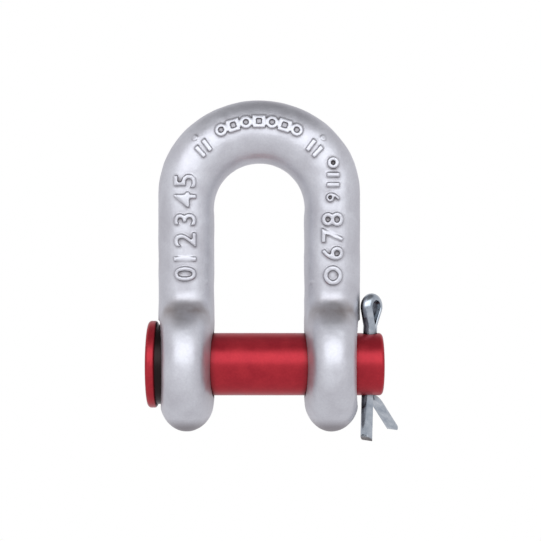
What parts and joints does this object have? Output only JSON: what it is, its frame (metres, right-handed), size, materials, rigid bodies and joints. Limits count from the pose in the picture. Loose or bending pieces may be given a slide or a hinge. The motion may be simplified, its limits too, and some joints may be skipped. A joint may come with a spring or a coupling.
{
  "type": "dee shackle",
  "caption": "Forged galvanised dee shackle closed by a red round pin that a bent split cotter keeps in the two eyes.",
  "frame": {"origin": "on the pin's axis, midway between the two eyes", "axes": "+X along the pin from its head towards the cotter, +Z from the pin up to the crown of the bow, +Y away from the face with the raised marks"},
  "size_m": [0.1034, 0.0546, 0.1387],
  "materials": {
    "galvanised_steel": "hot-dip galvanised, satin, slightly mottled",
    "red_paint": "semi-gloss red paint over forged steel",
    "bright_zinc": "bright zinc plate"
  },
  "bodies": {
    "bow": {"bow": "galvanised_steel"},
    "pin": {"pin": "red_paint"},
    "cotter": {"cotter": "bright_zinc"}
  },
  "joints": [
    {"name": "pin_spin", "type": "hinge", "parent": "bow", "child": "pin", "pos_m": [0, 0, 0], "axis": [1, 0, 0], "continuous": true},
    {"name": "cotter_twist", "type": "hinge", "parent": "pin", "child": "cotter", "pos_m": [0.0449, 0, 0], "axis": [0.0262, 0, 0.9997], "range_deg": [0, 35]}
  ]
}
